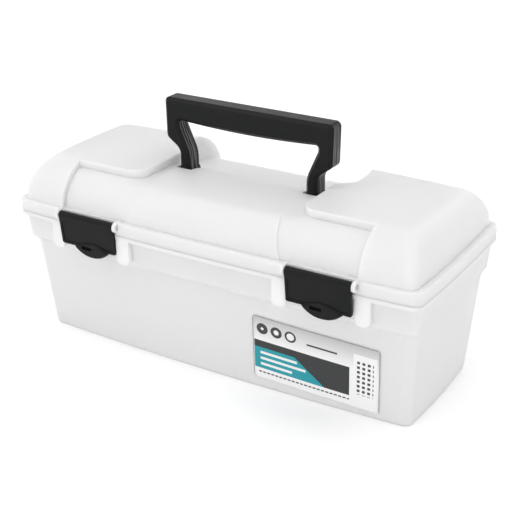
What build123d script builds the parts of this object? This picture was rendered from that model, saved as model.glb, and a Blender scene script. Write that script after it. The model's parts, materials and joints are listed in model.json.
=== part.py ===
from build123d import *
import os
from math import cos, radians, sin, sqrt, tan

# Lift-out tray box: a frosted moulded tub with a domed lid, a folding bail handle, two swing
# latches and a tray that stands on a ledge inside. Millimetres; X is the length, -Y the front
# with the latches, +Z up. The origin is the middle of the face that the box stands on.

# Walls and clearances
WALL = 1.8                  # moulded wall of tub and lid
FLOOR = 2.2                 # tub floor
TRAY_WALL = 1.6
FIT_GAP = 0.4               # lid skirt round the tub's bead
REST_GAP = 0.2              # between pieces that stand on each other
SIDE_GAP = 0.4              # between latch or handle and what flanks it
PIN_CLEARANCE = 0.03        # radial, hinge pin in knuckle
TRUNNION_CLEARANCE = 0.05   # radial, moulded trunnion in its hole
JOIN = 1.0                  # how far features of one moulding run into each other

# Plan: every level is a rectangle with bowed sides and rounded corners.
# A level is (half length at the corners, half depth at the corners, height), and a pair of
# lengths is (at the ends, at the front and the back).
END_CROWN = 2.0             # how far the ends bow out
SIDE_CROWN = 4.6            # how far the front and the back bow out
CORNER = 8.0                # plan corner radius of tub and lid

# Tub
HALF_LENGTH = 169.4         # top of the tub's upper band, at the corners
HALF_DEPTH = 68.0
TUB_HEIGHT = 104.6
BAND_HEIGHT = 22.6          # upper band, round the tray
BAND_DRAFT = (1.8, 2.4)     # foot of the band, in from its top
STEP_HEIGHT = 5.0           # slanting step under the band, the tray's ledge
STEP_IN = (2.3, 5.1)
WALL_DRAFT = (5.3, 8.5)     # foot of the walls, in from the step
FOOT_ROUND = 2.0            # rounding of the bottom edge
ROUND_STEPS = 2             # facets of the rounding round bottom edge and flange
LIP_HEIGHT = 3.2            # outward lip under the lid
BEAD_HEIGHT = 3.6           # bead that stands up inside the lid's skirt
FOOT_RING = 6.0             # width of the ring that the tub stands on
FOOT_RELIEF = 0.8

# Lid
RIM_OUT = (1.6, 3.0)        # lip and skirt beyond the band
SKIRT_HEIGHT = 9.7
SKIRT_ROUND = 1.6
SKIRT_WALL = 2.0
SHOULDER_IN = (5.0, 2.0)    # foot of the dome, in from the skirt's face
SHOULDER_RISE = 0.4         # upright stretch above the flange
DOME_CURVE = (24.0, 39.0)   # how far in the curves would level out
DOME_RISE = 33.7            # and how far above the flange
DOME_LEVELS = 6
PLATEAU_CUT = 2.2           # flat top of the two end plateaus, below that
FRONT_SETBACK = 2.4         # front panel behind the end sections
BAY_SETBACK = 0.9           # latch bays behind the front panel
BAY_OUTSIDE = 1.6           # bay beyond the latch, away from the middle
BAY_INSIDE = 8.4            # and towards the middle, at its foot
PANEL_LEAN = 8.0            # front panel narrower at the crease than at its foot
CREASE_IN = 22.5            # crease along the top of the front panel, in from the dome's foot

# Sunk saddle for the handle
SADDLE_DROP = 6.0           # saddle in front of the handle, below the plateaus
SADDLE_FRONT_GAP = 8.1      # beside the handle's feet
SADDLE_MIDDLE_GAP = 7.4     # beside the folded handle's arms
SADDLE_BACK_GAP = 3.1       # beside the folded grip
SADDLE_STEP = (8.0, 17.0)   # widens between these depths behind the middle
SADDLE_NARROWING = (34.0, 58.0)   # and narrows again between these
SADDLE_STEP_ROUND = 8.0
SADDLE_LOBE = 12.0          # plan rounding of the plateaus' front corners
SADDLE_DRAFT = 5.0          # degrees, side walls of the saddle
SADDLE_BROW = 10.0          # its floor starts to fall this far in front of the middle
SADDLE_GAP = 1.2            # under the folded handle
SADDLE_BACK_IN = 2.8        # upright back wall of the saddle, in from the dome's foot
SADDLE_BACK_ROUND = 9.0

# Handle
PIVOT_DROP = 5.5            # pivots below the saddle in front of the handle
HANDLE_REACH = 59.7         # pivots to the top of the grip
HANDLE_HALF_WIDTH = 72.3
HANDLE_THICKNESS = 16.0
GRIP_HEIGHT = 17.0          # at its ends, and GRIP_BOW more in the middle
GRIP_BOW = 2.2
GRIP_INNER = 59.9           # inner face of the arms under the grip
SHOULDER_DROP = 31.8        # top of the handle to the arm's outer corner
SHOULDER_DRAFT = 0.6        # ends lean in by this much at that corner
ARM_DROP = 40.2             # top of the handle to where the arm stands upright outside
ARM_INNER_START = 21.6
ARM_INNER_END = 42.8
FOOT_INNER = 50.6           # handle foot, nearest the middle
FOOT_WIDTH = 9.3
HANDLE_EDGE = 2.5           # chamfer round the front and the back
HANDLE_TRUNNION_RADIUS = 2.0
TRUNNION_BITE = 1.5         # trunnion into the lid's wall
TOP_CORNER_ROUND = 4.0
GRIP_CORNER_ROUND = 2.4
ARM_CORNER_ROUND = 5.0
ARM_HOLLOW_ROUND = 8.0
ARM_TURN_ROUND = 8.0
ARM_SWEEP_ROUND = 24.0

# Wells in the saddle that the handle's arms fold through
LANE_GAP = 2.4              # beside the handle's feet
LANE_SWEEP_GAP = 0.6        # round the feet
LANE_END_GAP = 2.0          # beyond the arms, under the folded grip
LANE_SIDE_GAP = 1.6         # outside the arms' shoulders
LANE_FLARE = (8.0, 24.0)    # widens outwards between these depths

# Latches
LATCH_FROM_END = 70.5       # middle of each latch, in from the band's corner
LATCH_WIDTH = 51.0
LATCH_TOP_DROP = 0.4        # below the top of the flange
LATCH_BARREL_RADIUS = 2.9
LATCH_POCKET_OUT = 0.3      # flange cut back behind the latch, from the rim's corners
LATCH_THICKNESS = 2.0
LATCH_LEAN = 6.5            # degrees, foot of the latch stands further in
LATCH_LENGTH = 26.1         # top to square bottom edge
TONGUE_HALF_WIDTH = 16.0
TONGUE_OFFSET = 2.8         # tongue right of the latch's middle
TONGUE_DROP = 7.5
TONGUE_RISE = 4.6           # up the panel
TONGUE_BULGE = 1.6
TONGUE_SLANT = 35.0         # degrees, sides of the bulge
TONGUE_SLOT_LENGTH = 9.0
TONGUE_SLOT_SHIFT = 4.2     # slot left of the tongue's middle
TONGUE_SLOT_HEIGHT = 3.0
TONGUE_SLOT_RISE = 2.2      # slot's top above the square bottom edge
TONGUE_SLOT_DEPTH = 2.2
LATCH_RIM = 2.0             # raised rim round the panel
LATCH_FIELD_DEPTH = 0.5
LATCH_FIELD_TOP = 8.0       # field from the top of the latch
LATCH_CORNER = 1.6
LATCH_TRUNNION_RADIUS = 1.9
EAR_THICKNESS = 2.6
EAR_RADIUS = 4.0
EAR_SKIN = 0.6              # left outside the trunnion's blind hole
TRUNNION_END_GAP = 0.3
HOOK_WIDTH = 34.0
HOOK_REACH = 1.5            # under the lip
HOOK_THICKNESS = 3.0
HOOK_GAP = 0.3              # below the lip
LIP_BAY_OUT = 2.9           # lip cut straight behind each latch, from the rim's corners
RIB_WIDTH = 11.4            # guard ribs beside the latches
RIB_FOOT_ROUND = 4.5
RIB_DROP = 0.5              # ribs' feet below the tray's ledge
RIB_SETBACK = 0.3           # ribs behind the lip's face

# Hinge
HINGE_FROM_END = 74.4       # middle of each hinge, in from the band's corner
PIN_RADIUS = 1.2
PIN_HEAD_RADIUS = 1.9
PIN_HEAD_LENGTH = 1.0
KNUCKLE_RADIUS = 3.2
KNUCKLE_LENGTH = 10.0       # each of the tub's two
LID_KNUCKLE_LENGTH = 12.0
KNUCKLE_GAP = 0.3
GUSSET_DROP = 13.0          # knuckle arm down the band
GUSSET_FOOT = 2.0

# Tray
TRAY_PLAY = 1.0             # round the tray's foot
TRAY_HEIGHT = 24.0
TRAY_DRAFT_OUT = 1.4
TRAY_FLOOR = 1.8
TRAY_RIM_HEIGHT = 2.0
TRAY_RIM_OUT = 0.7
FRONT_DIVIDERS = 2
BACK_DIVIDERS = 1
GRIP_HALF_LENGTH = 36.0
GRIP_RISE = 13.0
GRIP_THICKNESS = 3.2
GRIP_SLOT_HALF_LENGTH = 25.0
GRIP_SLOT_HEIGHT = 10.0

REACH = 400.0               # longer than anything that is cut
WIDE = REACH / 4            # beyond the box's front and back
SAME = 0.01                 # lengths closer than this are the same
SIDES = (-1, 1)


def moved_in(level, pair, drop):
    """Level that lies lower than another and further in."""
    return (level[0] - pair[0], level[1] - pair[1], level[2] - drop)


# Levels of the tub, from the top down
BAND_TOP_LEVEL = (HALF_LENGTH, HALF_DEPTH, TUB_HEIGHT)
STEP_HIGH_LEVEL = moved_in(BAND_TOP_LEVEL, BAND_DRAFT, BAND_HEIGHT)
STEP_LOW_LEVEL = moved_in(STEP_HIGH_LEVEL, STEP_IN, STEP_HEIGHT)
FOOT_LEVEL = moved_in(STEP_LOW_LEVEL, WALL_DRAFT, STEP_LOW_LEVEL[2])
RIM_LEVEL = (HALF_LENGTH + RIM_OUT[0], HALF_DEPTH + RIM_OUT[1], TUB_HEIGHT)

# Heights and places of the lid
LID_BASE = TUB_HEIGHT + REST_GAP
SKIRT_TOP = LID_BASE + SKIRT_HEIGHT
SHOULDER_LEVEL = (RIM_LEVEL[0] - SHOULDER_IN[0], RIM_LEVEL[1] - SHOULDER_IN[1], SKIRT_TOP)
CROWN_HEIGHT = SKIRT_TOP + DOME_RISE
PLATEAU_HEIGHT = CROWN_HEIGHT - PLATEAU_CUT
SADDLE_TOP = PLATEAU_HEIGHT - SADDLE_DROP
SADDLE_BACK = SHOULDER_LEVEL[1] - SADDLE_BACK_IN
CREASE_DEPTH = SHOULDER_LEVEL[1] - CREASE_IN
PIVOT_HEIGHT = SADDLE_TOP - PIVOT_DROP
HANDLE_TOP = PIVOT_HEIGHT + HANDLE_REACH

# Places of latches and hinges
LATCH_CENTRE = HALF_LENGTH - LATCH_FROM_END
BAY_OUTER = LATCH_CENTRE + LATCH_WIDTH / 2 + BAY_OUTSIDE
BAY_INNER = LATCH_CENTRE - LATCH_WIDTH / 2 - BAY_INSIDE
LATCH_TOP = SKIRT_TOP - LATCH_TOP_DROP
LATCH_POCKET_DEPTH = RIM_LEVEL[1] + LATCH_POCKET_OUT
LATCH_PIVOT_Y = LATCH_POCKET_DEPTH + SIDE_GAP + LATCH_BARREL_RADIUS
LATCH_PIVOT_Z = LATCH_TOP - LATCH_BARREL_RADIUS
LIP_BAY_DEPTH = RIM_LEVEL[1] + LIP_BAY_OUT
RIB_BOTTOM = STEP_HIGH_LEVEL[2] - RIB_DROP
HINGE_STATION = HALF_LENGTH - HINGE_FROM_END
HINGE_Y = RIM_LEVEL[1] + SIDE_CROWN + KNUCKLE_RADIUS
HINGE_Z = TUB_HEIGHT + REST_GAP / 2


def outline(level, inset=0.0):
    """Face at one level: bowed rectangle with rounded corners, drawn in by inset."""
    half_length, half_depth, height = level
    length = half_length - inset
    depth = half_depth - inset
    corners = [(-length, -depth), (length, -depth), (length, depth), (-length, depth)]
    bows = [(0, -depth - SIDE_CROWN), (length + END_CROWN, 0), (0, depth + SIDE_CROWN),
            (-length - END_CROWN, 0)]
    sides = [ThreePointArc(corners[k], bows[k], corners[k - 3]) for k in range(4)]
    face = make_face(Curve() + sides)
    return Pos(0, 0, height) * fillet(face.vertices(), max(CORNER - inset, WALL))


def at_height(low, high, height):
    """Level on the straight wall between two levels."""
    share = (height - low[2]) / (high[2] - low[2])
    return tuple(low[k] + (high[k] - low[k]) * share for k in range(2)) + (height,)


def walls(levels, inset=0.0):
    """Solid between levels, with straight walls."""
    return loft([outline(level, inset) for level in levels], ruled=True)


def rounded_end(low, high, radius, top=False):
    """Outlines that round the foot, or the top, of the straight wall between two levels."""
    rows = []
    for k in range(ROUND_STEPS + 1):
        angle = radians(90 * k / ROUND_STEPS)
        lift = radius * (1 - cos(angle))
        level = at_height(low, high, high[2] - lift if top else low[2] + lift)
        rows.append(outline(level, radius * (1 - sin(angle))))
    return rows[::-1] if top else rows


def profile(points_yz, half_width, centre=0.0):
    """Closed polygon in the YZ plane, extruded along X both ways."""
    face = make_face(Polyline(*points_yz, close=True))
    return Pos(centre, 0, 0) * extrude(Plane.YZ * face, half_width, both=True)


def rod(radius, length, centre):
    """Round bar along X."""
    return Pos(*centre) * Rot(0, 90, 0) * Cylinder(radius, length)


def block(low, high):
    """Box from its lowest to its highest corner."""
    size = [high[k] - low[k] for k in range(3)]
    middle = [(high[k] + low[k]) / 2 for k in range(3)]
    return Pos(*middle) * Box(*size)


def dome_level(height, inset):
    """Level of the lid's dome: upright foot, then quarter ellipses to the crown."""
    foot = SKIRT_TOP + SHOULDER_RISE
    share = max((height + inset - foot) / (CROWN_HEIGHT - foot), 0.0)
    swing = sqrt(1 - share ** 2)
    length, depth = (SHOULDER_LEVEL[k] - DOME_CURVE[k] * (1 - swing) - inset for k in range(2))
    return (length, depth, height)


def dome(inset=0.0):
    """Domed body of the lid from its base to the plateau, drawn in by inset."""
    foot = SKIRT_TOP + SHOULDER_RISE - inset
    top = PLATEAU_HEIGHT - inset
    steps = [sin(radians(90 * k / (DOME_LEVELS - 1))) for k in range(DOME_LEVELS)]
    upper = [dome_level(foot + (top - foot) * s, inset) for s in steps]
    skirt = extrude(outline(upper[0]), -(foot - LID_BASE))
    return skirt + loft([outline(level) for level in upper], ruled=True)


def saddle_plan(grow):
    """Plan of what lies below the plateaus, with rounded inner corners of the plateaus."""
    front = FOOT_INNER + FOOT_WIDTH + SADDLE_FRONT_GAP + grow
    middle = HANDLE_HALF_WIDTH + SADDLE_MIDDLE_GAP + grow
    back = HANDLE_HALF_WIDTH + SADDLE_BACK_GAP + grow
    crease = -CREASE_DEPTH + grow
    panel = BAY_OUTER + grow
    right = [(panel, -WIDE), (panel, crease), (front, crease), (front, SADDLE_STEP[0]),
             (middle, SADDLE_STEP[1]), (middle, SADDLE_NARROWING[0]), (back, SADDLE_NARROWING[1]),
             (back, WIDE)]
    left = [(-x, y) for x, y in reversed(right)]
    face = make_face(Polyline(*right, *left, close=True))
    for (x, y), radius in zip(right[2:5], (SADDLE_LOBE, SADDLE_STEP_ROUND, SADDLE_STEP_ROUND)):
        face = fillet([v for v in face.vertices()
                       if abs(abs(v.X) - x) < SAME and abs(v.Y - y) < SAME], radius)
    return Pos(0, 0, SADDLE_TOP) * face


def sunk_space(grow):
    """Space taken out between and in front of the plateaus."""
    drop = SADDLE_TOP - SKIRT_TOP + grow
    plan = saddle_plan(grow)
    panel = BAY_OUTER + grow
    front = block((-panel, -WIDE, SADDLE_TOP - drop), (panel, -CREASE_DEPTH - SADDLE_LOBE / 2, SADDLE_TOP))
    return extrude(plan, WIDE) + extrude(plan, -drop, taper=SADDLE_DRAFT) + front


def saddle_floor(inset):
    """Body under the saddle: level in front, falling to the floor that the grip folds onto."""
    brow = (-SADDLE_BROW, SADDLE_TOP - inset)
    grip_near = HANDLE_TOP - PIVOT_HEIGHT - GRIP_HEIGHT - GRIP_BOW
    low = PIVOT_HEIGHT - HANDLE_THICKNESS / 2 - SADDLE_GAP - inset
    start = (grip_near - SADDLE_GAP, low)
    back = SADDLE_BACK - inset
    bend = SADDLE_BACK_ROUND - inset
    run, fall = start[0] - brow[0], brow[1] - low
    radius = (run ** 2 + fall ** 2) / (4 * fall)
    halfway = ((start[0] + brow[0]) / 2, (brow[1] + low) / 2)
    slope = RadiusArc(brow, halfway, radius) + RadiusArc(halfway, start, -radius)
    floor = Line(start, (back - bend, low))
    turn = CenterArc((back - bend, low - bend), bend, 0, 90)
    rest = Polyline((back, low - bend), (back, 0), (-WIDE, 0), (-WIDE, brow[1]), brow)
    return extrude(Plane.YZ * make_face(slope + floor + turn + rest), REACH / 2, both=True)


def bays(grow):
    """Columns above the latches, where the front panel is set further back."""
    outer = BAY_OUTER + grow
    foot = BAY_INNER - grow
    crease = foot - PANEL_LEAN
    front = make_face(Polyline((outer, 0), (foot, 0), (foot, SKIRT_TOP), (crease, SADDLE_TOP),
                               (crease, WIDE * 2), (outer, WIDE * 2), close=True))
    bay = Pos(0, -CREASE_DEPTH + grow, 0) * extrude(Plane.XZ * front, WIDE)
    return [bay, mirror(bay, Plane.YZ)]


def lanes(grow):
    """Wells that the handle's arms sweep through between upright and folded."""
    radius = HANDLE_THICKNESS / 2 + LANE_SWEEP_GAP + grow
    far = HANDLE_TOP - PIVOT_HEIGHT - GRIP_HEIGHT + LANE_END_GAP
    floor = PIVOT_HEIGHT - radius
    above = PIVOT_HEIGHT + HANDLE_THICKNESS
    side = make_face(Polyline((-radius, PIVOT_HEIGHT), (-radius, above), (far, above), (far, floor),
                              (0, floor), close=True))
    space = extrude(Plane.YZ * (side + Pos(0, PIVOT_HEIGHT) * Circle(radius)), REACH / 2, both=True)
    inner = FOOT_INNER - LANE_GAP - grow
    outer = FOOT_INNER + FOOT_WIDTH + LANE_GAP + grow
    wide = HANDLE_HALF_WIDTH + LANE_SIDE_GAP + grow
    plan = make_face(Polyline((inner, -radius), (outer, -radius), (outer, LANE_FLARE[0]),
                              (wide, LANE_FLARE[1]), (wide, far), (inner, far), close=True))
    lane = extrude(plan, REACH / 2) & space
    return [lane, mirror(lane, Plane.YZ)]


def lid_body(inset):
    """Lid's dome with saddle, front panel, latch bays and arm wells, drawn in by inset."""
    panel = dome(inset + FRONT_SETBACK)
    deep = dome(inset + FRONT_SETBACK + BAY_SETBACK)
    kept = (panel - [bay - deep for bay in bays(inset)]) & saddle_floor(inset)
    return dome(inset) - (sunk_space(inset) - kept) - lanes(inset)


def tub():
    """Drafted tub with the tray's ledge, lip, bead, guard ribs and hinge knuckles."""
    upper_levels = [outline(level) for level in (STEP_LOW_LEVEL, STEP_HIGH_LEVEL, BAND_TOP_LEVEL)]
    shell = loft(rounded_end(FOOT_LEVEL, STEP_LOW_LEVEL, FOOT_ROUND) + upper_levels, ruled=True)
    lip = extrude(outline(RIM_LEVEL), -LIP_HEIGHT) - [lip_bay(side) for side in SIDES]
    reach = extrude(outline(RIM_LEVEL, RIB_SETBACK), -(TUB_HEIGHT - RIB_BOTTOM))
    ribs = [guard_rib(side * LATCH_CENTRE + hand * (LATCH_WIDTH / 2 + SIDE_GAP + RIB_WIDTH / 2)) & reach
            for side in SIDES for hand in SIDES]
    bead_level = moved_in(RIM_LEVEL, (SKIRT_WALL + FIT_GAP,) * 2, 0)
    bead = extrude(outline(bead_level), BEAD_HEIGHT) - [latch_bay(side, FIT_GAP + WALL) for side in SIDES]
    shell = shell + lip + ribs + bead + [tub_knuckle(x) for x in tub_knuckle_places()]
    ledge = STEP_HIGH_LEVEL[2]
    lower = walls([at_height(FOOT_LEVEL, STEP_LOW_LEVEL, z) for z in (FLOOR, ledge)], WALL)
    upper = walls([STEP_HIGH_LEVEL, BAND_TOP_LEVEL], WALL)
    mouth = extrude(outline(BAND_TOP_LEVEL, WALL), BEAD_HEIGHT)
    underside = extrude(outline(FOOT_LEVEL, FOOT_RING), FOOT_RELIEF)
    return shell - lower - upper - mouth - underside - hinge_bores()


def guard_rib(x):
    """Upright rib on the band with a rounded foot."""
    top = TUB_HEIGHT - LIP_HEIGHT / 2
    face = Pos(x, (top + RIB_BOTTOM) / 2) * Rectangle(RIB_WIDTH, top - RIB_BOTTOM)
    front = Plane.XZ * fillet(face.vertices().sort_by(Axis.Y)[:2], RIB_FOOT_ROUND)
    return Pos(0, -STEP_LOW_LEVEL[1], 0) * extrude(front, WIDE)


def lip_bay(side):
    """Strip of the lip in front of its straight stretch behind one latch."""
    half = LATCH_WIDTH / 2 + SIDE_GAP
    x = side * LATCH_CENTRE
    return block((x - half, -WIDE, TUB_HEIGHT - LIP_HEIGHT), (x + half, -LIP_BAY_DEPTH, TUB_HEIGHT))


def latch_bay(side, grow=0.0):
    """Room behind one latch, above the lip, that skirt and bead are cut back for."""
    half = LATCH_WIDTH / 2 + SIDE_GAP + grow
    x = side * LATCH_CENTRE
    front_of = LATCH_POCKET_DEPTH - grow
    return block((x - half, -WIDE, TUB_HEIGHT), (x + half, -front_of, SKIRT_TOP + JOIN))


def hinge_bores():
    """Pin bores of both hinge stations."""
    return [rod(PIN_RADIUS + PIN_CLEARANCE, WIDE, (side * HINGE_STATION, HINGE_Y, HINGE_Z))
            for side in SIDES]


def tub_knuckle_places():
    """Middles of the tub's four knuckles."""
    offset = LID_KNUCKLE_LENGTH / 2 + KNUCKLE_GAP + KNUCKLE_LENGTH / 2
    return [side * HINGE_STATION + hand * offset for side in SIDES for hand in SIDES]


def tub_knuckle(x):
    """Knuckle with its arm and gusset on the back of the band."""
    root = HALF_DEPTH
    top = TUB_HEIGHT - REST_GAP
    slant = KNUCKLE_RADIUS * sin(radians(45))
    arm = profile([(root, top), (HINGE_Y, top), (HINGE_Y + slant, HINGE_Z - slant),
                   (root + GUSSET_FOOT, top - GUSSET_DROP), (root, top - GUSSET_DROP)],
                  KNUCKLE_LENGTH / 2, x)
    return arm + rod(KNUCKLE_RADIUS, KNUCKLE_LENGTH, (x, HINGE_Y, HINGE_Z))


def lid():
    """Lid shell: dome, skirt flange, latch ears and bays, handle holes, hinge knuckles."""
    rim = moved_in(RIM_LEVEL, (0, 0), TUB_HEIGHT - LID_BASE)
    flange = moved_in(RIM_LEVEL, (0, 0), TUB_HEIGHT - SKIRT_TOP)
    skirt = loft([outline(rim)] + rounded_end(rim, flange, SKIRT_ROUND, top=True), ruled=True)
    shell = skirt + lid_body(0.0) - [latch_bay(side) for side in SIDES]
    ears = [latch_ear(side, hand) for side in SIDES for hand in SIDES]
    shell = shell + ears + [lid_knuckle(side * HINGE_STATION) for side in SIDES]
    room = extrude(outline(rim, SKIRT_WALL), SKIRT_TOP - WALL - LID_BASE)
    hollow = room + lid_body(WALL) - [latch_bay(side, WALL) for side in SIDES]
    across = FOOT_WIDTH + 2 * LANE_GAP + 4 * WALL
    pivots = [rod(HANDLE_TRUNNION_RADIUS + TRUNNION_CLEARANCE, across,
                  (side * (FOOT_INNER + FOOT_WIDTH / 2), 0, PIVOT_HEIGHT)) for side in SIDES]
    span = LATCH_WIDTH + 2 * (SIDE_GAP + EAR_THICKNESS - EAR_SKIN)
    latch_holes = [rod(LATCH_TRUNNION_RADIUS + TRUNNION_CLEARANCE, span,
                       (side * LATCH_CENTRE, -LATCH_PIVOT_Y, LATCH_PIVOT_Z)) for side in SIDES]
    return shell - hollow - pivots - latch_holes - hinge_bores()


def latch_ear(side, hand):
    """One of the pair of rounded ears that carry a latch."""
    x = side * LATCH_CENTRE + hand * (LATCH_WIDTH / 2 + SIDE_GAP + EAR_THICKNESS / 2)
    web = block((x - EAR_THICKNESS / 2, -LATCH_PIVOT_Y, LATCH_PIVOT_Z - EAR_RADIUS),
                (x + EAR_THICKNESS / 2, -SHOULDER_LEVEL[1], LATCH_PIVOT_Z + EAR_RADIUS))
    return web + rod(EAR_RADIUS, EAR_THICKNESS, (x, -LATCH_PIVOT_Y, LATCH_PIVOT_Z))


def lid_knuckle(x):
    """Knuckle with its arm on the back of the skirt."""
    root = RIM_LEVEL[1] - SKIRT_WALL / 2
    low = LID_BASE + JOIN
    high = SKIRT_TOP - SKIRT_ROUND
    slant = KNUCKLE_RADIUS * sin(radians(45))
    arm = profile([(root, low), (HINGE_Y - KNUCKLE_RADIUS, low), (HINGE_Y, HINGE_Z),
                   (HINGE_Y + slant, HINGE_Z + slant), (RIM_LEVEL[1] + SIDE_CROWN / 2, high),
                   (root, high)], LID_KNUCKLE_LENGTH / 2, x)
    return arm + rod(KNUCKLE_RADIUS, LID_KNUCKLE_LENGTH, (x, HINGE_Y, HINGE_Z))


def hinge_pin(side):
    """Headed steel pin through the three knuckles of one station."""
    span = LID_KNUCKLE_LENGTH + 2 * (KNUCKLE_GAP + KNUCKLE_LENGTH)
    x = side * HINGE_STATION
    shank = rod(PIN_RADIUS, span + PIN_CLEARANCE, (x, HINGE_Y, HINGE_Z))
    head_x = x + side * (span + PIN_CLEARANCE + PIN_HEAD_LENGTH) / 2
    return shank + rod(PIN_HEAD_RADIUS, PIN_HEAD_LENGTH, (head_x, HINGE_Y, HINGE_Z))


def handle_face():
    """Front view of the bail: grip, swept-in arms and feet."""
    top = HANDLE_TOP
    foot_outer = FOOT_INNER + FOOT_WIDTH
    corners = [(HANDLE_HALF_WIDTH, top, TOP_CORNER_ROUND),
               (HANDLE_HALF_WIDTH - SHOULDER_DRAFT, top - SHOULDER_DROP, ARM_CORNER_ROUND),
               (foot_outer, top - ARM_DROP, ARM_HOLLOW_ROUND),
               (foot_outer, PIVOT_HEIGHT, 0),
               (FOOT_INNER, PIVOT_HEIGHT, 0),
               (FOOT_INNER, top - ARM_INNER_END, ARM_SWEEP_ROUND),
               (GRIP_INNER, top - ARM_INNER_START, ARM_TURN_ROUND),
               (GRIP_INNER, top - GRIP_HEIGHT, GRIP_CORNER_ROUND)]
    right = [(x, z) for x, z, _ in corners]
    left = [(-x, z) for x, z in reversed(right)]
    bow = ThreePointArc(right[-1], (0, top - GRIP_HEIGHT - GRIP_BOW), left[0])
    face = make_face(Polyline(*right) + bow + Polyline(*left) + Line(left[-1], right[0]))
    for x, z, radius in corners:
        if radius > 0:
            spots = [v for v in face.vertices() if abs(abs(v.X) - x) < SAME and abs(v.Y - z) < SAME]
            face = fillet(spots, radius)
    return face


def handle():
    """Bail handle with chamfered edges and trunnions on its feet."""
    half = HANDLE_THICKNESS / 2
    solid = extrude(Plane.XZ * handle_face(), half, both=True)
    rims = [e for e in solid.edges()
            if e.center().Z > PIVOT_HEIGHT + SAME and abs(abs(e.center().Y) - half) < SAME]
    solid = chamfer(rims, HANDLE_EDGE)
    for side in SIDES:
        foot = (side * (FOOT_INNER + FOOT_WIDTH / 2), 0, PIVOT_HEIGHT)
        trunnion = rod(HANDLE_TRUNNION_RADIUS, FOOT_WIDTH + 2 * (LANE_GAP + TRUNNION_BITE), foot)
        solid = solid + rod(half, FOOT_WIDTH, foot) + trunnion
    return solid


def latch(side):
    """Swing latch: barrel with trunnions, leaning panel, finger tongue and hook."""
    reach = 2 * (SIDE_GAP + EAR_THICKNESS - EAR_SKIN - TRUNNION_END_GAP)
    axle = rod(LATCH_BARREL_RADIUS, LATCH_WIDTH, (0, 0, 0)) + rod(
        LATCH_TRUNNION_RADIUS, LATCH_WIDTH + reach, (0, 0, 0))
    front = -LATCH_BARREL_RADIUS
    back = front + LATCH_THICKNESS
    foot = LATCH_BARREL_RADIUS - LATCH_LENGTH
    plate = block((-LATCH_WIDTH / 2, front, foot), (LATCH_WIDTH / 2, back, 0))
    plate = fillet(plate.edges().filter_by(Axis.Y).sort_by(Axis.Z)[:2], LATCH_CORNER)
    field = block((LATCH_RIM - LATCH_WIDTH / 2, front, foot + LATCH_RIM),
                  (LATCH_WIDTH / 2 - LATCH_RIM, front + LATCH_FIELD_DEPTH,
                   LATCH_BARREL_RADIUS - LATCH_FIELD_TOP))
    proud = front - TONGUE_BULGE
    tongue = [tongue_disc(foot, back, front, 0), tongue_disc(foot, front, proud, TONGUE_SLANT)]
    slot_x = TONGUE_OFFSET - TONGUE_SLOT_SHIFT
    slot_top = foot + TONGUE_SLOT_RISE
    slot = block((slot_x - TONGUE_SLOT_LENGTH / 2, proud, slot_top - TONGUE_SLOT_HEIGHT),
                 (slot_x + TONGUE_SLOT_LENGTH / 2, proud + TONGUE_SLOT_DEPTH, slot_top))
    panel = Rot(LATCH_LEAN, 0, 0) * (plate - field + tongue - slot)
    under = TUB_HEIGHT - LIP_HEIGHT - HOOK_GAP - LATCH_PIVOT_Z
    tip = LATCH_PIVOT_Y - LIP_BAY_DEPTH + HOOK_REACH
    hook = profile([(front / 4, under), (tip, under), (tip, under - HOOK_THICKNESS / 2),
                    (0, under - HOOK_THICKNESS * 1.5)], HOOK_WIDTH / 2)
    return Pos(side * LATCH_CENTRE, -LATCH_PIVOT_Y, LATCH_PIVOT_Z) * (axle + panel + hook)


def tongue_disc(foot, back, front, slant):
    """Slice of the finger tongue: where two round discs overlap, narrowing to the front."""
    height = back - front
    narrow = height * tan(radians(slant))
    discs = []
    for reach, hand in ((TONGUE_DROP, 1), (TONGUE_RISE, -1)):
        radius = (TONGUE_HALF_WIDTH ** 2 + reach ** 2) / (2 * reach)
        middle = (TONGUE_OFFSET, (back + front) / 2, foot + hand * (radius - reach))
        disc = Cone(radius, radius - narrow, height) if slant else Cylinder(radius, height)
        discs.append(Pos(*middle) * Rot(90, 0, 0) * disc)
    return discs[0] & discs[1]


def tray():
    """Lift-out tray with moulded dividers, a rolled rim and a raised grip."""
    low = STEP_HIGH_LEVEL[2] + REST_GAP
    top = low + TRAY_HEIGHT
    foot_level = (STEP_HIGH_LEVEL[0] - WALL - TRAY_PLAY, STEP_HIGH_LEVEL[1] - WALL - TRAY_PLAY, low)
    top_level = (foot_level[0] + TRAY_DRAFT_OUT, foot_level[1] + TRAY_DRAFT_OUT, top)
    rim_level = (top_level[0] + TRAY_RIM_OUT, top_level[1] + TRAY_RIM_OUT, top)
    outer = walls([foot_level, top_level]) + extrude(outline(rim_level), -TRAY_RIM_HEIGHT)
    room = [at_height(foot_level, top_level, z) for z in (low + TRAY_FLOOR, top + JOIN)]
    dividers = [block((-REACH / 2, -TRAY_WALL / 2, low), (REACH / 2, TRAY_WALL / 2, top + JOIN))]
    for row, count in zip(SIDES, (FRONT_DIVIDERS, BACK_DIVIDERS)):
        for k in range(count):
            x = foot_level[0] * (2 * (k + 1) / (count + 1) - 1)
            near, far = sorted((0, row * WIDE))
            dividers.append(block((x - TRAY_WALL / 2, near, low), (x + TRAY_WALL / 2, far, top + JOIN)))
    return outer - (walls(room, TRAY_WALL) - dividers) + tray_grip(low + TRAY_FLOOR / 2, top)


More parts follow.
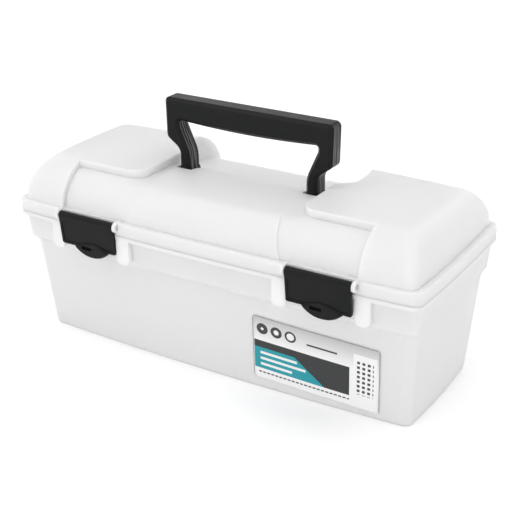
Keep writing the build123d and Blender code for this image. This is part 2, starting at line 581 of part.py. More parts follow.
def tray_grip(low, top):
    """Raised middle of the long divider with a slot for the fingers."""
    high = top + GRIP_RISE
    face = Pos(0, (low + high) / 2) * Rectangle(2 * GRIP_HALF_LENGTH, high - low)
    face = fillet(face.vertices().sort_by(Axis.Y)[2:], GRIP_SLOT_HEIGHT)
    slot = Pos(0, high - GRIP_SLOT_HEIGHT) * SlotOverall(2 * GRIP_SLOT_HALF_LENGTH, GRIP_SLOT_HEIGHT)
    return extrude(Plane.XZ * (face - slot), GRIP_THICKNESS / 2, both=True)


if __name__ == "__main__":
    os.makedirs("parts", exist_ok=True)
    pieces = {
        "base_tub": tub(),
        "lid_shell": lid(),
        "carry_handle": handle(),
        "latch_left": latch(-1),
        "latch_right": latch(1),
        "lift_out_tray": tray(),
        "hinge_pin_left": hinge_pin(-1),
        "hinge_pin_right": hinge_pin(1),
    }
    for name, piece in pieces.items():
        export_step(piece, f"parts/{name}.step")
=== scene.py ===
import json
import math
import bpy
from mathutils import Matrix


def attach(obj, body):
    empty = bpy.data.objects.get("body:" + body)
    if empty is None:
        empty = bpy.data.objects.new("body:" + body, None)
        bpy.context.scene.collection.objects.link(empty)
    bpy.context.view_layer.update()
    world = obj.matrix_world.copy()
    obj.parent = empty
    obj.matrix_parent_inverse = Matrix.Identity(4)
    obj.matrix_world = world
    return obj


bl_info = {
    "name": "Lift-out tray box",
    "version": (1, 0, 0),
    "blender": (4, 5, 0),
    "location": "View3D > Sidebar > Tray Box",
    "description": "Finishes a frosted tray box: moulded walls, dark latches and handle, steel pins, label",
    "category": "Object",
}

import bpy
import numpy as np
from bpy.props import FloatProperty, FloatVectorProperty, PointerProperty
from mathutils import Matrix, Vector

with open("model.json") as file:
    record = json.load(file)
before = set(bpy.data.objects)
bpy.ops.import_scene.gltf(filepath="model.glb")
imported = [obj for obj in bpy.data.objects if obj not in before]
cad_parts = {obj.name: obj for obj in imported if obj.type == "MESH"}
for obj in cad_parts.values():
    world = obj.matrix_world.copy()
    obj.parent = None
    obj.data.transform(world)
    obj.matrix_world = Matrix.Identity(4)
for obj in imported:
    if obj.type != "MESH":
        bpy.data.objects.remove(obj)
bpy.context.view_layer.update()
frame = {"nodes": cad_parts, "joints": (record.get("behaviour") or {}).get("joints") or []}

MM = 0.001

# The front wall of the tub, in millimetres, as the part's source has it: half length and half
# depth at the corners, and height, where the wall starts and where it ends
WALL_FOOT = (160.0, 52.0, 0.0)
WALL_TOP = (165.3, 60.5, 77.0)
# How far the wall's middle stands out from its corners
WALL_BOW = 4.6

# Grid of the printed sheet: points across, levels between the corners, points round a corner
SHEET_COLUMNS, SHEET_LEVELS, CORNER_POINTS = 33, 7, 7
# Glue between the wall and the sheet's back, in millimetres
SHEET_GLUE = 0.02
SHEET_UV = "sheet"

# Face attribute of the dark pieces: how squarely a face looks along the box, which places the
# painted sheen and the lower roughness. It rises by the gain from where the x part of the face's
# normal passes the start.
SIDE_FACES = "side_faces"
SIDE_START, SIDE_GAIN = 0.72, 6.0

# Points of the CAD nodes that lie closer than this are shaded as one, and edges sharper than
# this stay crisp
WELD_GAP = 0.002 * MM
CRISP_ANGLE = math.radians(32.0)

# Soft lamps, in metres and watts, and the point that they look at
LAMPS = {
    "lamp_top": {"place": (0.1, -0.15, 1.6), "size": (1.8, 1.8), "power": 4.0},
    "lamp_left": {"place": (-0.96, -0.80, 1.6), "size": (0.5, 0.5), "power": 2.5},
    "lamp_back": {"place": (0.9, 1.7, 1.05), "size": (0.6, 0.6), "power": 3.0},
    "lamp_front": {"place": (0.3, -1.9, 0.35), "size": (1.4, 0.6), "power": 5.0},
}
LAMP_AIM = (0.0, 0.0, 0.08)
BACKDROP_POINTS = 25
SENSOR_WIDTH = 36.0
CAMERA_RANGE = (0.05, 50.0)


class Val:
    """A shader socket that takes part in sums: each operator adds the Math node for it."""

    def __init__(self, tree, socket):
        self.tree = tree
        self.socket = socket

    def maths(self, operation, *others):
        node = self.tree.nodes.new("ShaderNodeMath")
        node.operation = operation
        for slot, value in zip(node.inputs, (self,) + others):
            if isinstance(value, Val):
                self.tree.links.new(value.socket, slot)
            else:
                slot.default_value = value
        return Val(self.tree, node.outputs[0])

    def __add__(self, other):
        return self.maths("ADD", other)

    def __radd__(self, other):
        return self.maths("ADD", other)

    def __mul__(self, other):
        return self.maths("MULTIPLY", other)

    def __rmul__(self, other):
        return self.maths("MULTIPLY", other)

    def __sub__(self, other):
        return self.maths("SUBTRACT", other)

    def __rsub__(self, other):
        return self.maths("MULTIPLY", -1.0) + other

    def __abs__(self):
        return self.maths("ABSOLUTE")

    def above(self, edge):
        return self.maths("GREATER_THAN", edge)

    def below(self, edge):
        return self.maths("LESS_THAN", edge)

    def clamped(self):
        return self.maths("MAXIMUM", 0.0).maths("MINIMUM", 1.0)

    def ramp(self, start, gain):
        """Rises from 0 at start by gain, and stays at 1 once it is there."""
        return ((self - start) * gain).clamped()

    def swing(self, amount):
        """Turns a share from 0 to 1 into a change of that amount, half of it down, half up."""
        return (self - 0.5) * amount


class Shader:
    """A material under construction, with the nodes that this object's finishes use."""

    # Colour sockets of a Mix node, which has others of the same name
    MIX_FIRST, MIX_SECOND, MIX_COLOUR = 6, 7, 2

    def __init__(self, name):
        self.material = bpy.data.materials.new(name)
        self.material.use_nodes = True
        self.tree = self.material.node_tree
        self.surface = self.tree.nodes["Principled BSDF"]

    def node(self, kind, settings=None, **sockets):
        """Any node: its settings first, then the values or links of its sockets by name."""
        made = self.tree.nodes.new(kind)
        for key, value in (settings or {}).items():
            setattr(made, key, value)
        for key, value in sockets.items():
            self.put(made.inputs[key.replace("_", " ")], value)
        return made

    def put(self, socket, value):
        if isinstance(value, Val):
            self.tree.links.new(value.socket, socket)
        elif isinstance(value, bpy.types.NodeSocket):
            self.tree.links.new(value, socket)
        else:
            socket.default_value = value

    def val(self, socket):
        return Val(self.tree, socket)

    def finish(self, **sockets):
        """Sets the Principled node's sockets and returns the material."""
        for key, value in sockets.items():
            self.put(self.surface.inputs[key.replace("_", " ")], value)
        return self.material

    def place(self):
        """Object coordinates in millimetres, as a vector."""
        coords = self.node("ShaderNodeTexCoord").outputs["Object"]
        scaled = self.node("ShaderNodeVectorMath", {"operation": "SCALE"}, Vector=coords, Scale=1 / MM)
        return scaled.outputs["Vector"]

    def split(self, vector):
        """The x, y and z of a vector."""
        parts = self.node("ShaderNodeSeparateXYZ", Vector=vector)
        return [self.val(out) for out in parts.outputs]

    def noise(self, where, scale, detail=2.0, roughness=0.5, stretch=None):
        """Noise from 0 to 1 over a vector, its scale per unit of the vector."""
        if stretch is not None:
            where = self.node("ShaderNodeMapping", Vector=where, Scale=stretch).outputs[0]
        made = self.node("ShaderNodeTexNoise", Vector=where, Scale=scale, Detail=detail,
                         Roughness=roughness)
        return self.val(made.outputs["Fac"])

    def attribute(self, name):
        """A number that the mesh holds for each of its faces."""
        return self.val(self.node("ShaderNodeAttribute", {"attribute_name": name}).outputs["Fac"])

    def blend(self, share, first, second):
        """Colour mixed from first to second by share."""
        made = self.node("ShaderNodeMix", {"data_type": "RGBA"}, Factor=share)
        self.put(made.inputs[self.MIX_FIRST], first)
        self.put(made.inputs[self.MIX_SECOND], second)
        return made.outputs[self.MIX_COLOUR]

    def bump(self, height, strength, distance):
        made = self.node("ShaderNodeBump", Strength=strength, Distance=distance, Height=height)
        return made.outputs[0]


def rgba(colour, factor=1.0):
    """A linear colour scaled by a factor, with full alpha."""
    return tuple(min(channel * factor, 1.0) for channel in colour[:3]) + (1.0,)


def mingled(first, second, share):
    """Two values added up, the first one by its share and the second one by the rest."""
    return first * share + second * (1.0 - share)


def trunnion_shade(s, where, settings):
    """Share of painted grey shade where the dark trunnions of the latches would show through the
    ears: discs round the latches' axis, on both sides of each latch."""
    swing = next(joint for joint in frame["joints"] if joint["name"] == "left_latch_swing")
    station, depth, height = (value / MM for value in swing["pos_m"])
    x, y, z = s.split(where)
    beside = abs(abs(x) - abs(station))
    across, up = y - depth, z - height
    away = (across * across + up * up).maths("SQRT")
    disc = (settings.trunnion_radius / MM - away).clamped()
    ear = beside.above(settings.trunnion_start / MM) * beside.below(settings.trunnion_end / MM)
    return disc * ear * settings.trunnion_share


def frosted_plastic(name, settings, tint=1.0, trunnions=False):
    """Milky see-through polypropylene: soft haze, faint flow lines and a fine moulded grain."""
    s = Shader(name)
    where = s.place()
    haze = s.noise(where, scale=0.018, detail=3.0)
    flow = s.noise(where, scale=0.05, detail=4.0, roughness=0.6, stretch=(0.35, 1.0, 1.6))
    grain = s.noise(where, scale=1.9, detail=3.0, roughness=0.65)
    pits = s.noise(where, scale=0.55)
    pale = rgba(settings.frost_colour, tint)
    hazy = rgba(pale, settings.haze_shade)
    colour = s.blend(mingled(haze, flow, share=0.6).clamped(), hazy, pale)
    # Painted shade: grey discs on the lid's ears where the dark trunnions behind them would show through
    if trunnions:
        colour = s.blend(trunnion_shade(s, where, settings), colour, rgba(settings.dark_colour))
    rough = settings.frost_roughness + flow.swing(0.10) + grain.swing(0.12)
    relief = s.bump(mingled(grain, pits, share=0.6), strength=0.18, distance=0.10 * MM)
    return s.finish(Base_Color=colour, Roughness=rough.clamped(), Normal=relief,
                    Transmission_Weight=settings.frost_clearness, IOR=1.49,
                    Subsurface_Weight=settings.frost_glow, Subsurface_Radius=(1.0, 1.0, 1.0),
                    Subsurface_Scale=settings.frost_depth, Specular_IOR_Level=0.25)


def black_plastic(name, settings, scuff=0.0, sheen=0.0):
    """Dark moulded plastic: fine spark-eroded grain, slight haze and paler rubbed spots, plus a painted
    sheen: grey streaks on the faces that look along X, which stand in for the highlights they catch."""
    s = Shader(name)
    where = s.place()
    grain = s.noise(where, scale=3.2, detail=3.0, roughness=0.7)
    cloud = s.noise(where, scale=0.06, detail=3.0)
    streak = s.noise(where, scale=0.35, detail=4.0, roughness=0.6, stretch=(0.2, 1.0, 1.0))
    painted_sheen_streaks = s.noise(where, scale=0.5, stretch=(0.1, 1.6, 0.05))
    side = s.attribute(SIDE_FACES)
    deep, light, worn = (rgba(settings.dark_colour, shade) for shade in (0.82, 1.15, 2.2))
    colour = s.blend(cloud, deep, light)
    colour = s.blend(streak.ramp(start=0.60, gain=4.0) * scuff, colour, worn)
    # Painted sheen: grey streaks on the faces that look along X stand in for their glossy highlights
    lines = painted_sheen_streaks.ramp(start=0.45, gain=5.0) * side * sheen
    colour = s.blend(lines, colour, rgba(settings.painted_sheen_colour))
    side_gloss = 0.08
    rough = settings.dark_roughness + grain.swing(0.16) + cloud.swing(0.08) - side * side_gloss
    relief = s.bump(grain, strength=0.30, distance=0.07 * MM)
    return s.finish(Base_Color=colour, Roughness=rough.clamped(), Normal=relief,
                    Specular_IOR_Level=0.1)


def pin_metal(name, settings):
    """Drawn steel wire: fine lines along the pin and a little staining."""
    s = Shader(name)
    where = s.place()
    drawn = s.noise(where, scale=2.4, detail=4.0, roughness=0.6, stretch=(0.08, 3.0, 3.0))
    stain = s.noise(where, scale=0.25, detail=3.0)
    colour = s.blend(stain, rgba(settings.stain_colour), rgba(settings.pin_colour))
    drawn_haze, stain_haze = 0.16, 0.06
    rough = settings.pin_roughness + drawn * drawn_haze + stain * stain_haze
    return s.finish(Base_Color=colour, Roughness=rough, Metallic=1.0,
                    Normal=s.bump(drawn, strength=0.2, distance=0.05 * MM))


def printed_paper(name, settings):
    """Glossy printed sheet, laid out on its own UV map in millimetres from the lower left: a
    silver head with three rings and a bar, a field cut slantwise into dark and teal with pale
    bars, a white foot with a thin broken line, and a white side panel with a chequer."""
    s = Shader(name)
    width, height = settings.label_width / MM, settings.label_height / MM
    white, silver, pale, rim, dark, ink, teal = (
        rgba(colour) for colour in (settings.ink_white, settings.ink_silver, settings.ink_pale,
                                    settings.ink_rim, settings.ink_dark, settings.ink_line,
                                    settings.ink_teal))
    coords = s.node("ShaderNodeUVMap", {"uv_map": SHEET_UV}).outputs[0]
    across, up = s.split(coords)[:2]
    u, v = across * width, up * height

    def box(left, right, low, high):
        return u.above(left) * u.below(right) * v.above(low) * v.below(high)

    def disc(middle, level, radius):
        right, over = u - middle, v - level
        return (right * right + over * over).below(radius * radius)

    def bars(value, pitch, gap):
        """1 on bars that repeat with a pitch and leave a gap, 0 in the gaps."""
        return value.maths("MODULO", pitch).above(gap)

    margin, field_right, field_low, field_high = 1.0, 77.5, 8.5, 33.0
    panel_left, panel_right, panel_high = field_right + 3.0, width - 2.0, height - 8.0
    fade_per_mm = 0.05
    head = box(0.0, width, field_high, height)
    panel = box(panel_left, panel_right, field_low, panel_high)
    shine = s.blend((v - field_high) * fade_per_mm, white, silver)
    colour = s.blend(head * (1.0 - panel), white, shine)

    slope, teal_right, teal_high = 1.3, 58.0, 27.0
    field = box(margin, field_right, field_low, field_high)
    colour = s.blend(field, colour, dark)
    slant = u + (v - field_low) * slope
    colour = s.blend(field * slant.below(teal_right) * v.below(teal_high), colour, teal)
    bar_left, bar_height, bar_pitch, top_bar = 6.0, 2.2, 5.0, 21.5
    for row, length in enumerate((30.0, 37.0, 26.0)):
        low = top_bar - bar_pitch * row
        colour = s.blend(box(bar_left, bar_left + length, low, low + bar_height), colour, pale)

    first_ring, ring_pitch, ring_level, ring_radius = 8.0, 11.5, 43.5, 4.6
    least_hole, hole_step = 1.2, 0.9
    for place in range(3):
        middle = first_ring + ring_pitch * place
        colour = s.blend(disc(middle, ring_level, ring_radius), colour, ink)
        hole = least_hole + hole_step * place
        colour = s.blend(disc(middle, ring_level, hole), colour, pale)
    colour = s.blend(box(left=44.0, right=68.0, low=40.5, high=42.0), colour, ink)

    foot_line = box(left=4.0, right=field_right, low=4.6, high=5.8)
    colour = s.blend(foot_line * bars(u, pitch=3.4, gap=0.9), colour, ink)
    squares = bars(u - field_right, pitch=4.0, gap=1.8) * bars(v, pitch=4.0, gap=1.8)
    inset = {"left": 2.0, "right": 2.5, "low": 3.0, "high": 5.0}
    chequer = box(panel_left + inset["left"], panel_right - inset["right"],
                  field_low + inset["low"], panel_high - inset["high"])
    colour = s.blend(chequer * squares, colour, ink)
    side_line, top_line = 0.6, 0.8
    inside = u.above(side_line) * u.below(width - side_line) * v.below(height - top_line)
    colour = s.blend(1.0 - inside, colour, rim)

    wear_share, fibre_haze = 0.06, 0.12
    wear = s.noise(coords, scale=60.0, detail=3.0)
    colour = s.blend(wear * wear_share, colour, silver)
    fibre = s.noise(coords, scale=240.0, detail=3.0)
    return s.finish(Base_Color=colour, Roughness=settings.label_roughness + fibre * fibre_haze,
                    Normal=s.bump(fibre, strength=0.08, distance=0.04 * MM),
                    Specular_IOR_Level=0.2)


def wall_depth(x, height):
    """The y of the tub's front wall over x at a height, in millimetres. The half length and half
    depth at the corners grow in proportion to the height, and the wall between them is an arc
    of a circle whose chord is the length and whose rise is the bow."""
    share = (height - WALL_FOOT[2]) / (WALL_TOP[2] - WALL_FOOT[2])
    half_length = WALL_FOOT[0] + (WALL_TOP[0] - WALL_FOOT[0]) * share
    half_depth = WALL_FOOT[1] + (WALL_TOP[1] - WALL_FOOT[1]) * share
    radius = (half_length ** 2 + WALL_BOW ** 2) / (2 * WALL_BOW)
    return -(half_depth + WALL_BOW) + radius - np.sqrt(radius ** 2 - x ** 2)


def sheet_mesh(name, settings):
    """Closed thin sheet on the front wall. The face is a grid over (u, v) in 0..1: each row is
    a span of the sheet's width, shortened at the rows near the top and bottom by a quarter
    circle of the corner's radius. The grid is turned by the tilt, and laid on the wall. The
    back is the same grid set in by the thickness, and a rim joins the two."""
    width, height = settings.label_width / MM, settings.label_height / MM
    corner = settings.label_corner / MM
    turns = np.linspace(0.0, math.pi / 2, CORNER_POINTS)
    lower = corner * (1 - np.cos(turns))
    inner = np.linspace(corner, height - corner, SHEET_LEVELS + 2)[1:-1]
    up = np.concatenate([lower, inner, height - lower[::-1]])
    near = np.minimum(up, height - up)
    round_off = np.sqrt(np.maximum(corner ** 2 - (corner - near) ** 2, 0.0))
    cut = np.where(near < corner, corner - round_off, 0.0)
    u = np.linspace(0.0, 1.0, SHEET_COLUMNS)
    across = cut[:, None] + u[None, :] * (width - 2 * cut)[:, None]
    rise = np.repeat(up[:, None], len(u), axis=1)
    right, above = across - width / 2, rise - height / 2
    turn = settings.label_tilt
    x = settings.label_middle / MM + right * math.cos(turn) + above * math.sin(turn)
    z = settings.label_level / MM + above * math.cos(turn) - right * math.sin(turn)
    y = wall_depth(x, z)
    front = np.stack([x, y - settings.label_thickness / MM, z], axis=-1).reshape(-1, 3)
    back = np.stack([x, y - SHEET_GLUE, z], axis=-1).reshape(-1, 3)

    index = np.arange(x.size).reshape(x.shape)
    quads = np.stack([index[:-1, :-1], index[:-1, 1:], index[1:, 1:], index[1:, :-1]], axis=-1)
    quads = quads.reshape(-1, 4)
    edge = np.concatenate([index[0, :], index[1:, -1], index[-1, -2::-1], index[-2:0:-1, 0]])
    after = np.roll(edge, -1)
    rim = np.stack([edge + x.size, after + x.size, after, edge], axis=-1)
    faces = np.concatenate([quads, quads[:, ::-1] + x.size, rim])
    mesh = bpy.data.meshes.new(name)
    mesh.from_pydata((np.concatenate([front, back]) * MM).tolist(), [], faces.tolist())

    flat = np.stack([across / width, rise / height], axis=-1).reshape(-1, 2)
    corners = np.empty(len(mesh.loops), dtype=np.int32)
    mesh.loops.foreach_get("vertex_index", corners)
    mesh.uv_layers.new(name=SHEET_UV).data.foreach_set("uv", flat[corners % x.size].ravel())
    shade_smooth(mesh)
    mesh.update()
    return mesh


def shade_smooth(mesh):
    mesh.polygons.foreach_set("use_smooth", np.ones(len(mesh.polygons), dtype=bool))


def dress(node, material):
    """Gives a CAD node its finish and smooths the shading of its facets, up to crisp edges."""
    piece = frame["nodes"][node]
    piece.data.materials.clear()
    piece.data.materials.append(material)
    shade_smooth(piece.data)
    piece.modifiers.new("merge facets", "WELD").merge_threshold = WELD_GAP
    piece.modifiers.new("crisp edges", "EDGE_SPLIT").split_angle = CRISP_ANGLE
    return piece


def mark_side_faces(piece):
    """Gives each face of a dark piece a share from 0 to 1 for how squarely it looks along X: the
    gain times what the x part of its normal has over the start, held to 0 and 1."""
    mesh = piece.data
    normals = np.empty(3 * len(mesh.polygons))
    mesh.polygons.foreach_get("normal", normals)
    share = np.clip((np.abs(normals[0::3]) - SIDE_START) * SIDE_GAIN, 0.0, 1.0)
    mesh.attributes.new(SIDE_FACES, "FLOAT", "FACE").data.foreach_set("value", share)


class TrayBoxFinish(bpy.types.PropertyGroup):
    """Colours and gloss of the moulded pieces and the pins."""

    frost_colour: FloatVectorProperty(
        name="Frosted plastic", description="Colour of tub, lid and tray", subtype="COLOR",
        default=(0.990, 0.974, 0.980), min=0.0, max=1.0)
    haze_shade: FloatProperty(
        name="Haze", description="Share of that colour where the plastic is haziest",
        default=0.985, min=0.0, max=1.0, subtype="FACTOR")
    frost_roughness: FloatProperty(
        name="Frost", description="Roughness of the frosted faces", default=0.46, min=0.0, max=1.0,
        subtype="FACTOR")
    frost_clearness: FloatProperty(
        name="Clearness", description="Share of light that passes the frosted walls",
        default=0.22, min=0.0, max=1.0, subtype="FACTOR")
    frost_glow: FloatProperty(
        name="Glow", description="Share of light that spreads inside the frosted walls",
        default=0.80, min=0.0, max=1.0, subtype="FACTOR")
    frost_depth: FloatProperty(
        name="Depth", description="How far light spreads inside the frosted walls",
        default=0.005, unit="LENGTH")
    # Painted shade of the trunnions seen through the ears: where it lies, its size and how dark it is
    trunnion_start: FloatProperty(
        name="Ear's inner face", description="From a latch's middle to where its trunnion starts "
        "to show through the ear", default=0.0256, unit="LENGTH")
    trunnion_end: FloatProperty(
        name="Ear's outer face", description="From a latch's middle to where its trunnion stops "
        "showing", default=0.0287, unit="LENGTH")
    trunnion_radius: FloatProperty(
        name="Trunnion", description="Radius of the soft spot that a trunnion makes",
        default=0.0027, unit="LENGTH")
    trunnion_share: FloatProperty(
        name="Trunnion shade", description="How dark the trunnions show through the ears",
        default=0.35, min=0.0, max=1.0, subtype="FACTOR")
    dark_colour: FloatVectorProperty(
        name="Dark plastic", description="Colour of handle and latches", subtype="COLOR",
        default=(0.0105, 0.0113, 0.0110), min=0.0, max=1.0)
    dark_roughness: FloatProperty(
        name="Dark gloss", description="Roughness of handle and latches", default=0.32,
        min=0.0, max=1.0, subtype="FACTOR")
    # Painted sheen: grey streaks that stand in for highlights on the handle's faces that look along X
    painted_sheen_colour: FloatVectorProperty(
        name="Painted sheen lines", description="Colour of the grey lines on the handle's side faces",
        subtype="COLOR", default=(0.22, 0.22, 0.22), min=0.0, max=1.0)
    pin_colour: FloatVectorProperty(
        name="Pins", description="Colour of the hinge pins' steel", subtype="COLOR",
        default=(0.66, 0.66, 0.67), min=0.0, max=1.0)
    stain_colour: FloatVectorProperty(
        name="Stains", description="Colour of the steel where it is stained", subtype="COLOR",
        default=(0.46, 0.46, 0.47), min=0.0, max=1.0)
    pin_roughness: FloatProperty(
        name="Pin gloss", description="Least roughness of the hinge pins", default=0.24,
        min=0.0, max=1.0, subtype="FACTOR")


class TrayBoxLabel(bpy.types.PropertyGroup):
    """Size, place and inks of the printed sheet on the front wall."""

    label_width: FloatProperty(
        name="Width", description="Width of the sheet", default=0.1005, unit="LENGTH")
    label_height: FloatProperty(
        name="Height", description="Height of the sheet", default=0.0535, unit="LENGTH")
    label_middle: FloatProperty(
        name="Middle", description="Sheet's middle, to the right of the box's middle",
        default=0.0884, unit="LENGTH")
    label_level: FloatProperty(
        name="Level", description="Sheet's middle above the table", default=0.0346,
        unit="LENGTH")
    label_tilt: FloatProperty(
        name="Tilt", description="How far the sheet was stuck on askew, clockwise",
        default=math.radians(2.3), subtype="ANGLE")
    label_corner: FloatProperty(
        name="Corner", description="Radius of the sheet's corners", default=0.0025,
        unit="LENGTH")
    label_thickness: FloatProperty(
        name="Thickness", description="How far the sheet stands out", default=0.00025,
        unit="LENGTH")
    label_roughness: FloatProperty(
        name="Gloss", description="Least roughness of the paper", default=0.30, min=0.0, max=1.0,
        subtype="FACTOR")
    ink_white: FloatVectorProperty(
        name="White", description="Colour of foot and side panel", subtype="COLOR",
        default=(0.78, 0.775, 0.78), min=0.0, max=1.0)
    ink_silver: FloatVectorProperty(
        name="Silver", description="Colour at the top of the head", subtype="COLOR",
        default=(0.45, 0.45, 0.455), min=0.0, max=1.0)
    ink_pale: FloatVectorProperty(
        name="Pale", description="Colour of the field's bars and the rings' middles",
        subtype="COLOR", default=(0.74, 0.74, 0.74), min=0.0, max=1.0)
    ink_rim: FloatVectorProperty(
        name="Rim", description="Colour of the line round the sheet", subtype="COLOR",
        default=(0.30, 0.30, 0.305), min=0.0, max=1.0)
    ink_dark: FloatVectorProperty(
        name="Dark", description="Colour of the field's dark part", subtype="COLOR",
        default=(0.028, 0.029, 0.030), min=0.0, max=1.0)
    ink_line: FloatVectorProperty(
        name="Line", description="Colour of rings, lines and chequer", subtype="COLOR",
        default=(0.040, 0.040, 0.042), min=0.0, max=1.0)
    ink_teal: FloatVectorProperty(
        name="Teal", description="Colour of the field's teal part", subtype="COLOR",
        default=(0.009, 0.275, 0.325), min=0.0, max=1.0)


class TrayBoxStage(bpy.types.PropertyGroup):
    """Floor, lamps and camera."""

    floor_colour: FloatVectorProperty(
        name="Floor", description="Colour of floor and backdrop", subtype="COLOR",
        default=(1.0, 1.0, 1.0), min=0.0, max=1.0)
    floor_shade: FloatProperty(
        name="Floor near the box", description="Share of the floor's colour near the box",
        default=0.955, min=0.0, max=1.0, subtype="FACTOR")
    shade_reach: FloatProperty(
        name="Reach", description="How far from the middle the floor keeps that shade",
        default=0.30, unit="LENGTH")
    lamp_power: FloatProperty(
        name="Lamps", description="Factor on the power of all soft lamps", default=1.0, min=0.0,
        max=4.0)
    sky_strength: FloatProperty(
        name="Sky", description="Strength of the even white light from all around", default=1.0,
        min=0.0, max=4.0)
    camera_target: FloatVectorProperty(
        name="Target", description="Point in the middle of the view",
        default=(0.00075, 0.0, 0.07853), subtype="TRANSLATION", unit="LENGTH")
    camera_distance: FloatProperty(
        name="Distance", description="Camera to the middle of the view", default=0.89028,
        unit="LENGTH")
    camera_azimuth: FloatProperty(
        name="Azimuth", description="Camera round the box, from the front",
        default=math.radians(31.74), subtype="ANGLE")
    camera_height: FloatProperty(
        name="Elevation", description="Camera above the level", default=math.radians(24.19),
        subtype="ANGLE")
    camera_roll: FloatProperty(
        name="Roll", description="Camera turned about its own axis",
        default=math.radians(-0.53), subtype="ANGLE")
    camera_lens: FloatProperty(
        name="Lens", description="Focal length in millimetres", default=82.23, min=10.0)


class TRAYBOX_OT_frosted_shells(bpy.types.Operator):
    """Finishes the tub, the lid and the tray in frosted plastic"""

    bl_idname = "traybox.frosted_shells"
    bl_label = "Frosted shells"

    def execute(self, context):
        settings = context.scene.traybox_finish
        dress("base_tub", frosted_plastic("frosted_tub", settings))
        dress("lid_shell", frosted_plastic("frosted_lid", settings, tint=1.01, trunnions=True))
        dress("lift_out_tray", frosted_plastic("frosted_tray", settings, tint=0.97))
        return {"FINISHED"}


class TRAYBOX_OT_dark_fittings(bpy.types.Operator):
    """Finishes the handle and both latches in dark plastic"""

    bl_idname = "traybox.dark_fittings"
    bl_label = "Handle and latches"

    def execute(self, context):
        settings = context.scene.traybox_finish
        handle = black_plastic("black_handle", settings, scuff=0.5, sheen=0.6)
        latches = black_plastic("black_latch", settings, scuff=0.3)
        finishes = {"carry_handle": handle, "latch_left": latches, "latch_right": latches}
        for node, finish in finishes.items():
            mark_side_faces(dress(node, finish))
        return {"FINISHED"}


class TRAYBOX_OT_hinge_pins(bpy.types.Operator):
    """Finishes the two hinge pins in steel"""

    bl_idname = "traybox.hinge_pins"
    bl_label = "Hinge pins"

    def execute(self, context):
        steel = pin_metal("pin_steel", context.scene.traybox_finish)
        for node in ("hinge_pin_left", "hinge_pin_right"):
            dress(node, steel)
        return {"FINISHED"}


class TRAYBOX_OT_label(bpy.types.Operator):
    """Puts the printed sheet on the front wall"""

    bl_idname = "traybox.label"
    bl_label = "Printed sheet"

    def execute(self, context):
        settings = context.scene.traybox_label
        sheet = bpy.data.objects.new("front_label", sheet_mesh("front_label", settings))
        context.scene.collection.objects.link(sheet)
        sheet.data.materials.append(printed_paper("printed_paper", settings))
        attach(sheet, "base")
        return {"FINISHED"}


def soft_lamp(name, place, size, power):
    """Rectangular lamp that looks at the lamps' common aim."""
    data = bpy.data.lights.new(name, "AREA")
    data.shape = "RECTANGLE"
    data.size, data.size_y = size
    data.energy = power
    lamp = bpy.data.objects.new(name, data)
    lamp.location = place
    lamp.rotation_euler = (Vector(LAMP_AIM) - Vector(place)).to_track_quat("-Z", "Y").to_euler()
    bpy.context.scene.collection.objects.link(lamp)


def floor_material(settings):
    """Plain white floor, a shade deeper near the box, so that its soft shadow shows there."""
    s = Shader("plain_floor")
    x, y = s.split(s.place())[:2]
    distance = (x * x + y * y).maths("SQRT")
    reach = settings.shade_reach / MM
    colour = s.blend(distance.ramp(start=reach, gain=1.0 / reach),
                     rgba(settings.floor_colour, settings.floor_shade),
                     rgba(settings.floor_colour))
    return s.finish(Base_Color=colour, Roughness=0.9, Specular_IOR_Level=0.0)


def sweep_mesh(name, half_width, front, back, radius, rise):
    """Floor and backdrop in one sheet: a line along X that is carried level along Y, then up a
    quarter circle, then upright."""
    turn = np.linspace(0.0, math.pi / 2, BACKDROP_POINTS)
    y = np.concatenate([[-front], back - radius + radius * np.sin(turn), [back]])
    z = np.concatenate([[0.0], radius - radius * np.cos(turn), [rise]])
    x = np.array([-half_width, half_width])
    grid_x, grid_y = np.meshgrid(x, y)
    grid_z = np.repeat(z[:, None], len(x), axis=1)
    points = np.stack([grid_x, grid_y, grid_z], axis=-1).reshape(-1, 3)
    index = np.arange(grid_x.size).reshape(grid_x.shape)
    faces = np.stack([index[:-1, 0], index[:-1, 1], index[1:, 1], index[1:, 0]], axis=-1)
    mesh = bpy.data.meshes.new(name)
    mesh.from_pydata(points.tolist(), [], faces.tolist())
    shade_smooth(mesh)
    return mesh


def even_sky(strength):
    """White light of the same strength from all around."""
    world = bpy.data.worlds.new("studio")
    world.use_nodes = True
    sky = world.node_tree.nodes["Background"]
    sky.inputs["Color"].default_value = (1.0, 1.0, 1.0, 1.0)
    sky.inputs["Strength"].default_value = strength
    return world


def aimed_camera(settings):
    """Camera at its distance from the target, round the box and above the level by two angles,
    and turned about its own axis by the roll."""
    camera = bpy.data.objects.new("camera", bpy.data.cameras.new("camera"))
    camera.data.lens = settings.camera_lens
    camera.data.sensor_width = SENSOR_WIDTH
    camera.data.clip_start, camera.data.clip_end = CAMERA_RANGE
    around, lift = settings.camera_azimuth, settings.camera_height
    away = Vector((math.sin(around) * math.cos(lift), -math.cos(around) * math.cos(lift),
                   math.sin(lift)))
    level = (-away).to_track_quat("-Z", "Y").to_matrix()
    rolled = level @ Matrix.Rotation(settings.camera_roll, 3, "Z")
    place = Vector(settings.camera_target) + away * settings.camera_distance
    camera.matrix_world = Matrix.Translation(place) @ rolled.to_4x4()
    return camera


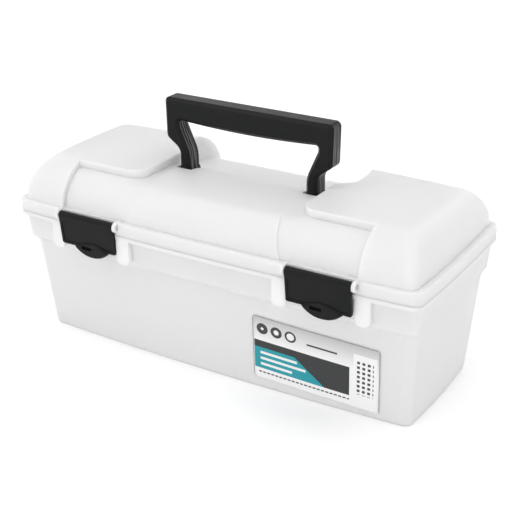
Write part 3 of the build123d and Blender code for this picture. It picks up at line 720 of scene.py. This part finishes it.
class TRAYBOX_OT_stage(bpy.types.Operator):
    """Sets up the floor, the soft lamps and the camera"""

    bl_idname = "traybox.stage"
    bl_label = "Stage"

    def execute(self, context):
        settings = context.scene.traybox_stage
        scene = context.scene
        sweep = sweep_mesh("floor", half_width=6.0, front=6.0, back=5.0, radius=1.5, rise=4.0)
        floor = bpy.data.objects.new("floor", sweep)
        floor.data.materials.append(floor_material(settings))
        scene.collection.objects.link(floor)
        for name, lamp in LAMPS.items():
            soft_lamp(name, lamp["place"], lamp["size"], lamp["power"] * settings.lamp_power)
        scene.world = even_sky(settings.sky_strength)
        scene.camera = aimed_camera(settings)
        scene.collection.objects.link(scene.camera)
        scene.view_settings.view_transform = "Standard"
        return {"FINISHED"}


class TRAYBOX_PT_panel(bpy.types.Panel):
    """Buttons and values of the tray box"""

    bl_idname = "TRAYBOX_PT_panel"
    bl_label = "Tray Box"
    bl_space_type = "VIEW_3D"
    bl_region_type = "UI"
    bl_category = "Tray Box"

    def draw(self, context):
        scene = context.scene
        for group in (scene.traybox_finish, scene.traybox_label, scene.traybox_stage):
            column = self.layout.column()
            for key in group.__annotations__:
                column.prop(group, key)
        for operator in STEPS:
            self.layout.operator(operator.bl_idname)


STEPS = (TRAYBOX_OT_frosted_shells, TRAYBOX_OT_dark_fittings, TRAYBOX_OT_hinge_pins,
         TRAYBOX_OT_label, TRAYBOX_OT_stage)
GROUPS = {"traybox_finish": TrayBoxFinish, "traybox_label": TrayBoxLabel,
          "traybox_stage": TrayBoxStage}
CLASSES = tuple(GROUPS.values()) + STEPS + (TRAYBOX_PT_panel,)


def register():
    for cls in CLASSES:
        bpy.utils.register_class(cls)
    for key, group in GROUPS.items():
        setattr(bpy.types.Scene, key, PointerProperty(type=group))


def unregister():
    for key in GROUPS:
        delattr(bpy.types.Scene, key)
    for cls in reversed(CLASSES):
        bpy.utils.unregister_class(cls)


def main():
    """Registers the add-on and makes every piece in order."""
    register()
    bpy.ops.traybox.frosted_shells()
    bpy.ops.traybox.dark_fittings()
    bpy.ops.traybox.hinge_pins()
    bpy.ops.traybox.label()
    bpy.ops.traybox.stage()


if __name__ == "__main__":
    main()
